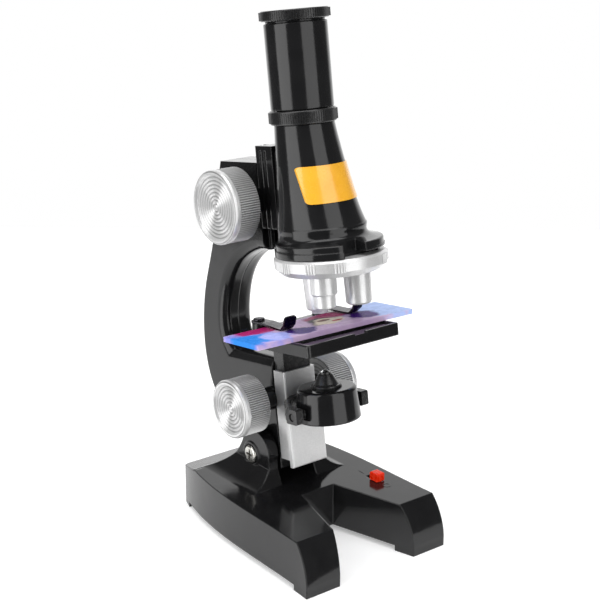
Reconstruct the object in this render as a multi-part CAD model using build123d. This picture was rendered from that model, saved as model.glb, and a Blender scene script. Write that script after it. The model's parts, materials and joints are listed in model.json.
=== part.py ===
"""Toy compound microscope: horseshoe base, tilting arm, rack focusing, three-objective turret.

Millimetres, +Z up, +X to the microscope's right, the specimen side faces -Y.
The arm and all that it carries are modelled upright, with the tilt axis over y = 0, and are
leaned back by REST_TILT when they are exported. The model is then moved along Y by PIVOT_Y,
which puts the origin under the middle of the whole object.
"""
import math
import os

from build123d import *

# ---------------------------------------------------------------- driving dimensions (mm)
REST_TILT = 8.5          # arm leans back this many degrees at rest
PIVOT_Y = 10.86          # tilt axis, measured from the origin of the whole model
PIVOT_Z = 32.0           # height of the tilt axis

# base
BASE_H = 21.4            # flat top of the base
RIM_Z = 2.4              # lower rim of the walls, between the feet
WALL = 2.0
FRONT_Y = -65.9          # tips of the two prongs at the floor
TOP_FRONT_Y = -58.6      # front edge of the flat top
REAR_Y = 36.0
REAR_CORNER_R = 4.0
BEVEL_Y = 19.6           # where the rear bevel starts
BEVEL_Z = 17.0           # where it ends, above the rear wall
TIP_HALF_W = 36.5        # outer side of a prong at its tip
TIP_INNER_X = 19.6       # inner side of a prong at its tip
NOTCH_X = 8.7            # half width of the notch at its rear end
NOTCH_Y = -26.9
FOOT_Y = -57.0           # the front feet reach back to here
REAR_FOOT_Y = 28.0
EAR_IN = 9.2             # inner faces of the two hinge ears
EAR_OUT = 14.2
EAR_BOSS_R = 5.6           # raised ring round the tilt bolt
EAR_BOSS_H = 0.6

# arm
ARM_X = 8.1              # half thickness of the arm
HEAD_TOP = 155.6
HEAD_FRONT = -13.9
HEAD_BOTTOM = 119.4
LIP_Z = 74.0             # lower edge of the C-shaped opening
NECK_FRONT = -12.0       # front face below the opening
FOOT_R = 9.3
ARM_WALL = 2.2

# rack and pinion drives
SHAFT_Y = -9.0
FOCUS_Z = 139.8
STAGE_SHAFT_Z = 56.6
MODULE = 0.8
TEETH = 11
PITCH_R = MODULE * TEETH / 2
GEAR_HALF_W = 2.0
SHAFT_R = 2.0
RIPPLE = 1.55              # spacing of the ripples on a knob's face
RUNNING = 0.06           # radial clearance of shafts
RACK_Y = SHAFT_Y - PITCH_R

# knobs
FOCUS_KNOB_R = 15.2
FOCUS_KNOB_IN = 14.6
FOCUS_KNOB_OUT = 27.0
STAGE_KNOB_R = 12.3
STAGE_KNOB_IN = 16.8
STAGE_KNOB_OUT = 29.6

# optical train
AXIS_Y = -37.2
TURRET_OFFSET = 9.85     # from the optical axis to the turret axis
TURRET_Y = AXIS_Y - TURRET_OFFSET
TURRET_R = 22.75
TURRET_TOP = 120.4
TURRET_H = 7.0
SKIRT_R = 21.7
SKIRT_TOP = 125.8
SKIRT_STEP = 123.2         # the skirt is a little narrower above this height
WINDOW_HALF_W = 8.8        # opening in the front of the skirt, over the turret's rim
WINDOW_BACK = -62.5
WINDOW_TAB_X = 0.5         # a tab fills the window from here to its right side
TAB_BOTTOM = 122.3
CONE_TOP = 171.0
CONE_TOP_R = 11.9
COLLAR_R = 13.6
COLLAR_H = 5.4
DRAW_R = 12.45
SPIGOT_R = 10.0
CAP_R = 13.9
CAP_TOP = 214.6
CAP_H = 4.0
LABEL_Z = (141.0, 155.2)
LABEL_HALF_W = 12.6

# stage
STAGE_HALF_W = 23.3
STAGE_FRONT = -58.0
STAGE_REAR = -12.8
STAGE_TOP = 88.6
STAGE_T = 5.0
SLIDE_L = 76.0           # standard specimen slide
SLIDE_W = 25.4
SLIDE_T = 2.0
SLIDE_FRONT = -49.0
CLIP_X = 15.6
CLIP_RIVET_Y = -16.6
CLIP_SEAT = 91.6           # top of the bosses that the clips are riveted to
RIGHT_CLIP_TURN = 12.0     # the right clip rests swung this far outward
SLIDE_TURN = -3.0          # the slide lies slightly askew
POST_HALF_W = 6.8
POST_FRONT = -18.6
SLEEVE_HALF_W = 8.1
SLEEVE_FRONT = -19.9
SLEEVE_TOP = 69.0
SLEEVE_BOTTOM = 31.0
TONGUE_HALF_W = 8.9
TONGUE_BOTTOM = 28.4
TONGUE_TOP = 48.0

# illuminator
LAMP_Z = 55.5            # flip axis
LAMP_R = 13.3
LAMP_TOP_R = 12.2
LAMP_BOTTOM = 51.0
LAMP_TOP = 64.3
NOZZLE_TOP = 70.4
YOKE_IN = 15.4
YOKE_OUT = 17.7

CLEAR = 0.25             # gap between sliding faces


# ---------------------------------------------------------------- helpers
def box(x, y, z):
    """Box between the pairs x, y and z."""
    size = [abs(b - a) for a, b in (x, y, z)]
    centre = [(a + b) / 2 for a, b in (x, y, z)]
    return Pos(*centre) * Box(*size)


def cyl_z(radius, z0, z1, x=0.0, y=0.0):
    return Pos(x, y, (z0 + z1) / 2) * Cylinder(radius, abs(z1 - z0))


def cyl_x(radius, x0, x1, y=0.0, z=0.0):
    return Pos((x0 + x1) / 2, y, z) * Rot(0, 90, 0) * Cylinder(radius, abs(x1 - x0))


def cone_z(r0, r1, z0, z1, x=0.0, y=0.0):
    return Pos(x, y, (z0 + z1) / 2) * Cone(r0, r1, z1 - z0)


def closed_face(*curves):
    """Face inside curves that join end to end."""
    return make_face([edge for curve in curves for edge in curve.edges()])


def side_prism(curves, x0, x1):
    """Prism along X over an outline drawn in (y, z)."""
    face = Plane.YZ * closed_face(*curves)
    return Pos(x0, 0, 0) * extrude(face, x1 - x0)


def fused(first, *others):
    result = first
    for other in others:
        result = result + other
    return result


def mirrored_x(shape):
    return mirror(shape, about=Plane.YZ)


def turned(outline, y=0.0):
    """Solid of revolution about a vertical line; the outline is (radius, z) points."""
    face = Plane.XZ * make_face(Polyline(*outline, close=True))
    return Pos(0, y, 0) * revolve(face, Axis.Z)


def grooved(radius, depth, count, length):
    """Prism along Z from z = 0 with V-shaped grip grooves all round."""
    points = []
    for i in range(2 * count):
        angle = math.pi / count * i
        r = radius - depth * (i % 2)
        points.append((r * math.cos(angle), r * math.sin(angle)))
    return extrude(make_face(Polyline(*points, close=True)), length)


def rounded(shape, edges, radius):
    """Fillet, halving the radius until the kernel accepts it."""
    while radius > 0.1:
        try:
            return fillet(edges, radius)
        except Exception:
            radius /= 2
    return shape


def save(name, *solids, tilted=True):
    """Write one sub-part as it stands at rest, moved to the model's origin."""
    place = Pos(0, PIVOT_Y, 0)
    if tilted:
        place = place * Pos(0, 0, PIVOT_Z) * Rot(-REST_TILT, 0, 0) * Pos(0, 0, -PIVOT_Z)
    pieces = [piece for solid in solids for piece in (place * solid).solids()]
    shape = pieces[0] if len(pieces) == 1 else Compound(children=pieces)
    export_step(shape, f"parts/{name}.step")


# ---------------------------------------------------------------- base
def base_outline(inset):
    """Plan of the horseshoe: bowed outer sides, tapering notch between the prongs."""
    slope = (TIP_INNER_X - NOTCH_X) / (NOTCH_Y - FRONT_Y)
    shift = inset * math.hypot(1, slope)
    tip_y, rear_y, notch_y = FRONT_Y + inset, REAR_Y - inset, NOTCH_Y + inset
    tip_x = TIP_INNER_X + shift - inset * slope
    notch_x = NOTCH_X + shift - inset * slope
    side = [(TIP_HALF_W, tip_y), (35.3, -30.0), (34.3, -6.0), (30.9, 17.0), (25.0, rear_y)]
    side = [(x - inset, y) for x, y in side]
    right = Spline(*side)
    left = Spline(*[(-x, y) for x, y in side])
    rear = Line(side[-1], (-side[-1][0], rear_y))
    notch = Polyline((-side[0][0], tip_y), (-tip_x, tip_y), (-notch_x, notch_y),
                     (notch_x, notch_y), (tip_x, tip_y), (side[0][0], tip_y))
    return closed_face(right, rear, left, notch)


def base_block(inset, bottom):
    """Base body: the plan extruded, cut to the side profile with its curved prong fronts."""
    top = BASE_H - inset
    plan = extrude(base_outline(inset), BASE_H)
    front = ThreePointArc((FRONT_Y + inset, bottom), (-64.3 + inset, 12.0), (TOP_FRONT_Y + inset, top))
    profile = [front,
               Line((TOP_FRONT_Y + inset, top), (BEVEL_Y, top)),
               Line((BEVEL_Y, top), (REAR_Y - inset, BEVEL_Z - inset)),
               Line((REAR_Y - inset, BEVEL_Z - inset), (REAR_Y - inset, bottom)),
               Line((REAR_Y - inset, bottom), (FRONT_Y + inset, bottom))]
    block = plan & side_prism(profile, -60, 60)
    if inset > 0:
        return block
    corners = [e for e in block.edges().filter_by(Axis.Z) if e.center().Y > REAR_Y - 2]
    return rounded(block, corners, REAR_CORNER_R)


def ear(side):
    """Hinge ear whose concave fairings run out to the side and down to the rear."""
    tent = Plane.XZ * closed_face(
        Line((EAR_IN, BASE_H - 1), (EAR_IN, 46.0)),
        Line((EAR_IN, 46.0), (EAR_OUT, 46.0)),
        Line((EAR_OUT, 46.0), (EAR_OUT, 28.6)),
        ThreePointArc((EAR_OUT, 28.6), (18.9, 23.7), (30.0, BASE_H)),
        Line((30.0, BASE_H), (30.0, BASE_H - 1)),
        Line((30.0, BASE_H - 1), (EAR_IN, BASE_H - 1)))
    tent = Pos(0, 40, 0) * extrude(tent, 80)
    crown = ThreePointArc((-12.0, 34.0), (-3.0, 43.2), (6.6, 36.4))
    flow = ThreePointArc((6.6, 36.4), (13.6, 26.6), (26.0, 19.3))
    profile = side_prism([Line((-15.0, BASE_H - 1), (-15.0, BASE_H)),
                          ThreePointArc((-15.0, BASE_H), (-12.6, 26.0), (-12.0, 34.0)),
                          crown, flow,
                          Line((26.0, 19.3), (26.0, 17.5)),
                          Line((26.0, 17.5), (-15.0, BASE_H - 1))], 0, 60)
    solid = tent & profile
    crest = [e for e in solid.edges() if e.center().Z > 33 and abs(e.center().X - EAR_OUT) < 0.05]
    solid = rounded(solid, crest, 1.2)
    boss = cyl_x(EAR_BOSS_R, EAR_OUT - 1, EAR_OUT + EAR_BOSS_H, 0, PIVOT_Z)
    boss = rounded(boss, boss.edges().filter_by(GeomType.CIRCLE).sort_by(Axis.X)[-1:], 0.4)
    solid = solid + boss
    return solid if side > 0 else mirrored_x(solid)


BOLT_HEAD_R = 3.8
BOLT_R = 2.5
SWITCH_X = 25.8
SWITCH_Y = -35.2
SWITCH_TRAVEL = 3.5
CELL_R = 7.0
CELL_L = 50.0
CELL_YS = (-16.0, -1.6)
CELL_Z = 11.8
DOOR = ((-28.0, 28.0), (-24.0, 6.4))
SCREW_SPOTS = [(27.5, -50.0), (-27.5, -50.0), (20.0, 28.0), (-20.0, 28.0)]


def base_shell():
    body = base_block(0, 0) - base_block(WALL, -1)
    under = box((-60, 60), (FOOT_Y, REAR_FOOT_Y), (-1, RIM_Z))
    body = body - under
    shell = fused(body, ear(1), ear(-1))
    for x, y in SCREW_SPOTS:
        boss = cyl_z(3.0, 6.6, BASE_H, x, y) & base_block(WALL / 2, 0)
        shell = shell + boss - cyl_z(1.1, 6.0, 14.0, x, y)
    shell = shell - cyl_x(BOLT_R + RUNNING, -20, 20, 0, PIVOT_Z)
    shell = shell - cyl_x(BOLT_HEAD_R + 0.4, -20, -EAR_OUT + 1.6, 0, PIVOT_Z)
    shell = shell - cyl_x(BOLT_HEAD_R + 0.6, EAR_OUT - 1.6, 20, 0, PIVOT_Z)
    slot = box((SWITCH_X - 1.3, SWITCH_X + 1.3), (SWITCH_Y - 2.2, SWITCH_Y + SWITCH_TRAVEL + 2.2), (15, 25))
    shell = shell - slot
    return shell


def base_cover():
    """Bottom plate inside the rim, with the battery opening and its ledge."""
    plate = extrude(base_outline(WALL + 0.25), 2.0)
    plate = Pos(0, 0, RIM_Z + 0.2) * plate
    front_trim = box((-60, 60), (-80, FRONT_Y + WALL + 1.0), (0, 10))
    (x0, x1), (y0, y1) = DOOR
    opening = box((x0, x1), (y0, y1), (0, 10))
    plate = plate - front_trim - opening
    for x, y in SCREW_SPOTS:
        plate = plate + cyl_z(3.0, RIM_Z + 2.0, 6.4, x, y)
        plate = plate - cyl_z(1.5, 0, 7, x, y) - cyl_z(2.7, 0, RIM_Z + 2.0, x, y)
    return plate


def battery_door():
    (x0, x1), (y0, y1) = DOOR
    door = box((x0 + 0.3, x1 - 0.3), (y0 + 0.3, y1 - 0.3), (RIM_Z + 0.2, RIM_Z + 2.2))
    for i in range(5):
        y = (y0 + y1) / 2 - 6 + 3 * i
        door = door - box((x1 - 12, x1 - 4), (y - 0.6, y + 0.6), (0, RIM_Z + 0.8))
    return door


def base_screws():
    screws = []
    for x, y in SCREW_SPOTS:
        head = cyl_z(2.4, RIM_Z + 0.4, RIM_Z + 1.9, x, y)
        cross = box((x - 1.4, x + 1.4), (y - 0.25, y + 0.25), (RIM_Z, RIM_Z + 1.0))
        cross = cross + Pos(x, y, 0) * Rot(0, 0, 90) * Pos(-x, -y, 0) * cross
        screws.append(head + cyl_z(1.05, RIM_Z + 1.9, 13.0, x, y) - cross)
    return screws


def battery_cells():
    cells = []
    for i, y in enumerate(CELL_YS):
        sign = 1 if i == 0 else -1
        body = cyl_x(CELL_R, -CELL_L / 2 + 0.8, CELL_L / 2 - 1.4, y, CELL_Z)
        button = cyl_x(2.7, CELL_L / 2 - 1.4, CELL_L / 2, y, CELL_Z)
        cell = body + button
        cells.append(cell if sign > 0 else mirrored_x(cell))
    return cells


def battery_contacts():
    """Coil springs against the flat ends, plates against the buttons."""
    contacts = []
    for i, y in enumerate(CELL_YS):
        sign = 1 if i == 0 else -1
        plate = box((CELL_L / 2 + 0.1, CELL_L / 2 + 0.6), (y - 5.5, y + 5.5), (6.0, 17.5))
        helix = Pos(-CELL_L / 2 + 0.4, y, CELL_Z) * Rot(0, -90, 0) * Helix(1.1, 3.0, 4.6, cone_angle=-12)
        wire = sweep(Plane(helix @ 0, z_dir=helix % 0) * Circle(0.3), path=helix)
        back = box((-CELL_L / 2 - 3.6, -CELL_L / 2 - 3.1), (y - 5.5, y + 5.5), (6.0, 17.5))
        pair = [plate, back, wire]
        contacts += pair if sign > 0 else [mirrored_x(part) for part in pair]
    return contacts


def switch_body():
    case = box((SWITCH_X - 3.2, SWITCH_X + 3.2), (SWITCH_Y - 5.5, SWITCH_Y + SWITCH_TRAVEL + 5.5),
               (13.0, BASE_H - WALL - 0.1))
    well = box((SWITCH_X - 1.6, SWITCH_X + 1.6), (SWITCH_Y - 2.6, SWITCH_Y + SWITCH_TRAVEL + 2.6),
               (15.0, BASE_H))
    pins = [box((SWITCH_X - 0.4, SWITCH_X + 0.4), (y - 0.3, y + 0.3), (9.5, 13.2))
            for y in (SWITCH_Y - 1.5, SWITCH_Y + SWITCH_TRAVEL / 2, SWITCH_Y + SWITCH_TRAVEL + 1.5)]
    return fused(case - well, *pins)


def switch_slider():
    stem = box((SWITCH_X - 1.05, SWITCH_X + 1.05), (SWITCH_Y - 1.9, SWITCH_Y + 1.9), (15.4, BASE_H + 1))
    cap = box((SWITCH_X - 2.1, SWITCH_X + 2.1), (SWITCH_Y - 2.3, SWITCH_Y + 2.3), (BASE_H + 0.25, BASE_H + 3.8))
    cap = rounded(cap, cap.edges().group_by(Axis.Z)[-1], 0.6)
    for i in (-1, 0, 1):
        y = SWITCH_Y + 1.2 * i
        cap = cap - box((SWITCH_X - 3, SWITCH_X + 3), (y - 0.2, y + 0.2), (BASE_H + 3.4, BASE_H + 4))
    return cap + stem


def pivot_bolt():
    head = cyl_x(BOLT_HEAD_R, -EAR_OUT - 1.3, -EAR_OUT + 1.6, 0, PIVOT_Z)
    head = rounded(head, head.edges().filter_by(GeomType.CIRCLE).sort_by(Axis.X)[:1], 0.9)
    cross = fused(box((-20, -EAR_OUT + 0.3), (-2.2, 2.2), (PIVOT_Z - 0.45, PIVOT_Z + 0.45)),
                  box((-20, -EAR_OUT + 0.3), (-0.45, 0.45), (PIVOT_Z - 2.2, PIVOT_Z + 2.2)))
    return head - cross + cyl_x(BOLT_R, -EAR_OUT + 1.6, EAR_OUT + 1.4, 0, PIVOT_Z)


def pivot_nut():
    hexagon = Plane.YZ * RegularPolygon(4.4, 6)
    nut = Pos(EAR_OUT - 1.5, 0, PIVOT_Z) * extrude(hexagon, 2.6)
    return nut - cyl_x(BOLT_R + 0.02, 0, 30, 0, PIVOT_Z)


def pivot_washers():
    gap = EAR_IN - ARM_X
    ring = cyl_x(6.0, ARM_X + 0.06, ARM_X + gap - 0.06, 0, PIVOT_Z) - cyl_x(BOLT_R + RUNNING, 0, 30, 0, PIVOT_Z)
    return [ring, mirrored_x(ring)]


# ---------------------------------------------------------------- arm
REAR_POINTS = [(11.7, HEAD_TOP), (17.6, 138.0), (23.5, 120.3), (31.9, 102.0), (37.4, 80.0), (37.2, 66.0),
               (33.6, 54.6), (24.0, 43.6), (12.0, 37.6)]
OPENING_POINTS = [(17.6, LIP_Z), (20.7, 82.0), (19.2, 94.0), (14.6, 104.6), (6.0, 113.4), (-3.0, 117.8),
                  (-9.0, HEAD_BOTTOM)]


def moved_in(points, amount):
    """Points of an open curve moved to its right-hand side."""
    result = []
    for i, (y, z) in enumerate(points):
        y0, z0 = points[max(i - 1, 0)]
        y1, z1 = points[min(i + 1, len(points) - 1)]
        length = math.hypot(y1 - y0, z1 - z0)
        result.append((y + (z1 - z0) / length * amount, z - (y1 - y0) / length * amount))
    return result


def arm_outline():
    """Side view of the arm in (y, z): head, C-shaped back, lower block and foot."""
    rear = Spline(*REAR_POINTS)
    heel = ThreePointArc((12.0, 37.6), (9.0, 35.0), (FOOT_R, PIVOT_Z))
    foot = ThreePointArc((FOOT_R, PIVOT_Z), (0, PIVOT_Z - FOOT_R), (-6.0, 25.0))
    toe = Polyline((-6.0, 25.0), (NECK_FRONT, 26.2), (NECK_FRONT, LIP_Z), OPENING_POINTS[0])
    opening = Spline(*OPENING_POINTS)
    head = Polyline(OPENING_POINTS[-1], (HEAD_FRONT, HEAD_BOTTOM), (HEAD_FRONT, HEAD_TOP), REAR_POINTS[0])
    return closed_face(rear, heel, foot, toe, opening, head)


def arm_cavity_outline():
    """The same side view moved in by the wall, stopping above the foot."""
    w = ARM_WALL
    floor = 38.0 + w
    rear = moved_in(REAR_POINTS[:-1], w)
    rear[0] = (REAR_POINTS[0][0] - w, HEAD_TOP - w)
    rear[-1] = (REAR_POINTS[-2][0] - 3.4, REAR_POINTS[-2][1] + 1.0)
    opening = moved_in(OPENING_POINTS, w)
    opening[0] = (OPENING_POINTS[0][0] + w, LIP_Z - w)
    opening[-1] = (OPENING_POINTS[-1][0], HEAD_BOTTOM + w)
    low = Polyline(rear[-1], (8.0, floor), (NECK_FRONT + w, floor), (NECK_FRONT + w, LIP_Z - w), opening[0])
    head = Polyline(opening[-1], (HEAD_FRONT + w, HEAD_BOTTOM + w), (HEAD_FRONT + w, HEAD_TOP - w), rear[0])
    return closed_face(Spline(*rear), low, Spline(*opening), head)


SCREW_YZ = [(4.0, 149.0), (27.0, 96.0), (28.0, 64.0), (8.0, 44.0)]
RAIL_IN = 3.9
RAIL_NECK = 4.9
RAIL_HEAD = 5.6


def rail(front, z0, z1):
    """Hooked guide rail on the front of the right arm half."""
    neck = box((RAIL_IN, RAIL_NECK), (front + 0.5, front - 2.7), (z0, z1))
    head = box((RAIL_IN, RAIL_HEAD), (front - 1.5, front - 2.7), (z0, z1))
    return neck + head


def rail_slot(front, z0, z1):
    """Matching slot for both rails, with sliding clearance."""
    neck = box((RAIL_IN - CLEAR, RAIL_NECK + CLEAR), (front + 1, front - 2.7 - CLEAR), (z0, z1))
    head = box((RAIL_IN - CLEAR, RAIL_HEAD + CLEAR), (front - 1.5 + CLEAR, front - 2.7 - CLEAR), (z0, z1))
    slot = neck + head
    return slot + mirrored_x(slot)


def arm_half():
    """Right half of the arm before its screw holes: a hollow shell with bosses, bearings and rails."""
    plate = extrude(Plane.YZ * arm_outline(), ARM_X)
    soft = [e for e in plate.edges() if e.center().X > ARM_X - 0.01
            and -12.5 < e.center().Y < 23 and LIP_Z - 1 < e.center().Z < HEAD_BOTTOM + 1]
    plate = rounded(plate, soft, 4.2)
    sharp = [e for e in plate.edges() if e.bounding_box().min.X > ARM_X - 0.01 and e.center().Y > 8]
    plate = rounded(plate, sharp, 0.8)
    cavity = Pos(-1, 0, 0) * extrude(Plane.YZ * arm_cavity_outline(), ARM_X - ARM_WALL + 1)
    half = plate - cavity
    for y, z in SCREW_YZ:
        half = half + (cyl_x(3.0, 0, ARM_X - 1, y, z) & plate)
    for z, x_out, front in ((FOCUS_Z, FOCUS_KNOB_IN, HEAD_FRONT), (STAGE_SHAFT_Z, STAGE_KNOB_IN, NECK_FRONT)):
        boss = cyl_x(4.8, GEAR_HALF_W + 0.6, x_out - 0.4, SHAFT_Y, z)
        boss = boss - box((-1, ARM_X + CLEAR), (-20, front), (z - 6, z + 6))
        half = half + boss
        half = half - cyl_x(SHAFT_R + RUNNING, -1, 30, SHAFT_Y, z)
        half = half - cyl_x(PITCH_R + MODULE + 0.5, -1, GEAR_HALF_W + 0.5, SHAFT_Y, z)
    half = fused(half, rail(HEAD_FRONT, HEAD_BOTTOM + 1, HEAD_TOP - 1), rail(NECK_FRONT, 36.0, LIP_Z - 1))
    half = half - box((-1, GEAR_HALF_W + 0.6), (-20, HEAD_FRONT + 3.6), (118, 160))
    half = half - box((-1, GEAR_HALF_W + 0.6), (-20, NECK_FRONT + 1.6), (34, LIP_Z + 1))
    half = half - cyl_x(BOLT_R + RUNNING, -1, 20, 0, PIVOT_Z)
    return half


def arm_left():
    """Left half, with pilot holes for the screws."""
    half = mirrored_x(arm_half())
    for y, z in SCREW_YZ:
        half = half - cyl_x(1.1, 1, -ARM_X + 1.5, y, z)
    return half


def arm_right():
    """Right half, with the heads of the screws sunk into it."""
    half = arm_half()
    for y, z in SCREW_YZ:
        half = half - cyl_x(1.3, 20, -1, y, z) - cyl_x(2.4, 20, ARM_X - 2.6, y, z)
    return half


def arm_screws():
    screws = []
    for y, z in SCREW_YZ:
        head = cyl_x(2.25, ARM_X - 0.7, ARM_X - 2.55, y, z)
        cross = fused(box((ARM_X, ARM_X - 1.5), (y - 1.4, y + 1.4), (z - 0.25, z + 0.25)),
                      box((ARM_X, ARM_X - 1.5), (y - 0.25, y + 0.25), (z - 1.4, z + 1.4)))
        screws.append(head + cyl_x(1.05, ARM_X - 2.5, -5.5, y, z) - cross)
    return screws


# ---------------------------------------------------------------- drives
def pinion(z):
    """Pinion on a shaft along X, with a tooth gap facing the rack at rest."""
    root, tip = PITCH_R - 1.25 * MODULE, PITCH_R + 0.85 * MODULE
    pitch_half, tip_half = 0.40 * MODULE * math.pi / 2, 0.17 * MODULE * math.pi / 2
    root_half = 0.62 * MODULE * math.pi / 2
    tooth = make_face(Polyline((root - 0.3, -root_half), (root, -root_half), (PITCH_R, -pitch_half),
                               (tip, -tip_half), (tip, tip_half), (PITCH_R, pitch_half),
                               (root, root_half), (root - 0.3, root_half), close=True))
    sketch = Circle(root)
    for i in range(TEETH):
        sketch = sketch + Rot(0, 0, 360 / TEETH * i) * tooth
    gear = Pos(-GEAR_HALF_W, SHAFT_Y, z) * extrude(Plane.YZ * sketch, 2 * GEAR_HALF_W)
    return gear - cyl_x(SHAFT_R, -5, 5, SHAFT_Y, z)


def rack(z_mesh, z0, z1, back):
    """Rack strip facing +Y, with one tooth centred at z_mesh."""
    pitch = math.pi * MODULE
    tip_y, root_y = RACK_Y + 0.8 * MODULE, RACK_Y - 1.15 * MODULE
    strip = box((-GEAR_HALF_W, GEAR_HALF_W), (back, root_y), (z0, z1))
    first = math.ceil((z0 + 1.3 - z_mesh) / pitch)
    last = math.floor((z1 - 1.3 - z_mesh) / pitch)
    tooth = make_face(Polyline((root_y - 0.2, -0.85), (root_y, -0.85), (tip_y, -0.28),
                               (tip_y, 0.28), (root_y, 0.85), (root_y - 0.2, 0.85), close=True))
    tooth = Pos(-GEAR_HALF_W, 0, 0) * extrude(Plane.YZ * tooth, 2 * GEAR_HALF_W)
    teeth = [Pos(0, 0, z_mesh + pitch * i) * tooth for i in range(first, last + 1)]
    return fused(strip, *teeth)


def shaft(z, x_out):
    return cyl_x(SHAFT_R, -x_out + 2.4, x_out - 2.4, SHAFT_Y, z)


def knob(z, radius, x_in, x_out, grooves):
    """Right-hand knob: grooved grip, smooth rim, rippled face."""
    length = x_out - x_in
    rim = length - 2.6
    outline = [(0, 0), (radius - 0.9, 0), (radius - 0.9, rim), (radius - 0.1, rim), (radius, rim + 0.5),
               (radius, length - 1.0), (radius - 0.3, length - 0.35), (radius - 0.9, length),
               (radius - 1.6, length), (radius - 2.2, length - 0.8)]
    ripples = round((radius - 2.8) / RIPPLE)
    pitch = (radius - 2.8) / ripples
    for i in range(ripples, 0, -1):
        outline.append((i * pitch, length - 1.3))
        outline.append((i * pitch - pitch / 2, length - 0.6))
    outline.append((0, length - 0.6))
    body = turned(outline) + Pos(0, 0, 0.4) * grooved(radius - 0.15, 0.55, grooves, rim - 0.4)
    body = Pos(x_in, SHAFT_Y, z) * Rot(0, 90, 0) * body
    return body - cyl_x(SHAFT_R, x_in - 1, x_out - 2.4, SHAFT_Y, z)


# ---------------------------------------------------------------- optical tube
def tube_slider():
    """Block that carries the body tube, slotted for the rails on the arm."""
    z0, z1 = 129.0, 162.4
    back = HEAD_FRONT - CLEAR
    block = box((-ARM_X, ARM_X), (back, -25.2), (z0, z1))
    block = rounded(block, block.edges().filter_by(Axis.Z).group_by(Axis.Y)[-1], 0.5)
    for y in (-17.5, -20.5):
        for x in (-ARM_X, ARM_X):
            block = block - box((x - 0.5, x + 0.5), (y - 0.5, y + 0.5), (z0 - 1, z1 - 2))
    block = block - rail_slot(HEAD_FRONT, z0 - 1, z1 + 1)
    return block - box((-GEAR_HALF_W - CLEAR, GEAR_HALF_W + CLEAR), (back + 1, -17.0), (z0 - 1, z1 + 1))


def tube_rack():
    return rack(FOCUS_Z, 129.4, 162.0, -17.0)


CONE_RINGS = [(CONE_TOP, CONE_TOP_R), (158.0, 13.3), (146.0, 14.85), (137.0, 16.3), (131.5, 17.5)]
CONE_BACK = -25.6


def cone_loft(grow, z_top, rings):
    """Oblique cone: its back runs straight down while its front slopes forward."""
    sections = [Pos(0, CONE_BACK - r, z) * Circle(r + grow) for z, r in rings]
    return loft(sections, ruled=False)


def flare(grow):
    """Foot of the cone: nearly straight, then a tight concave sweep out to the skirt over the turret."""
    low_z, low_r = CONE_RINGS[-1]
    low_y = CONE_BACK - low_r
    sections = [Pos(0, low_y, low_z) * Circle(low_r + grow)]
    for t in (0.4, 0.7, 0.85, 0.94, 1.0):
        r = low_r + 0.15 * t + (SKIRT_R - 1.2 - low_r) * t ** 8
        y = low_y + (TURRET_Y - low_y) * t ** 8
        sections.append(Pos(0, y, low_z + (SKIRT_TOP - low_z) * t) * Circle(r + grow))
    return loft(sections, ruled=False)


def tube_skirt():
    """Stepped ring over the turret, cut away at the front right, with a window and its tab."""
    low = cyl_z(SKIRT_R, TURRET_TOP + 0.25, SKIRT_STEP, 0, TURRET_Y)
    high = cyl_z(SKIRT_R - 0.35, SKIRT_STEP, SKIRT_TOP, 0, TURRET_Y)
    high = rounded(high, high.edges().filter_by(GeomType.CIRCLE).group_by(Axis.Z)[-1], 0.7)
    return low + high


def body_tube():
    wall = 1.8
    body = cone_loft(0, CONE_TOP, CONE_RINGS) + flare(0) + tube_skirt()
    hollow = cone_loft(-wall, CONE_TOP, CONE_RINGS[1:]) + flare(-wall)
    hollow = hollow + cyl_z(SKIRT_R - wall, TURRET_TOP - 1, SKIRT_TOP - 1.4, 0, TURRET_Y)
    hollow = hollow + cyl_z(SKIRT_R - wall - 1.4, TURRET_TOP - 1, SKIRT_TOP + 0.05, 0, TURRET_Y)
    behind = box((-WINDOW_HALF_W - wall, WINDOW_HALF_W + wall), (-80, WINDOW_BACK + wall), (100, 140))
    body = body - (hollow - behind) - cyl_z(SPIGOT_R + 0.08, 140, CONE_TOP + 1, 0, AXIS_Y)
    body = body - box((-WINDOW_HALF_W, 40), (-80, WINDOW_BACK), (100, TAB_BOTTOM))
    body = body - box((WINDOW_HALF_W, 40), (-80, TURRET_Y + 3), (100, TAB_BOTTOM))
    body = body - box((-WINDOW_HALF_W, WINDOW_TAB_X), (-80, WINDOW_BACK), (100, 130))
    pad = box((-ARM_X + 1, ARM_X - 1), (-25.3, -28.5), (133.0, 160.0)) - cone_loft(-wall, CONE_TOP, CONE_RINGS)
    pad = pad - cyl_z(SPIGOT_R + 0.08, 130, CONE_TOP + 1, 0, AXIS_Y)
    return body + pad


def label_plate():
    z0, z1 = LABEL_Z
    skin = cone_loft(0.45, CONE_TOP, CONE_RINGS) - cone_loft(0.05, CONE_TOP, CONE_RINGS)
    patch = Plane.XZ * (Pos(0, (z0 + z1) / 2) * RectangleRounded(2 * LABEL_HALF_W, z1 - z0, 1.2))
    patch = Pos(0, -45, 0) * extrude(patch, 30)
    return skin & patch


def nose_plate():
    """Floor inside the skirt that the turret turns against."""
    plate = cyl_z(SKIRT_R - 2.1, TURRET_TOP + 0.3, TURRET_TOP + 2.3, 0, TURRET_Y)
    boss = cyl_z(4.0, TURRET_TOP + 2.3, TURRET_TOP + 6.0, 0, TURRET_Y)
    plate = plate + boss - cyl_z(1.6, 110, 130, 0, TURRET_Y) - cyl_z(4.5, 110, 130, 0, AXIS_Y)
    side = WINDOW_HALF_W + 2.0
    return plate - box((-side, side), (-80, WINDOW_BACK + 2.0), (100, 140))


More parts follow.
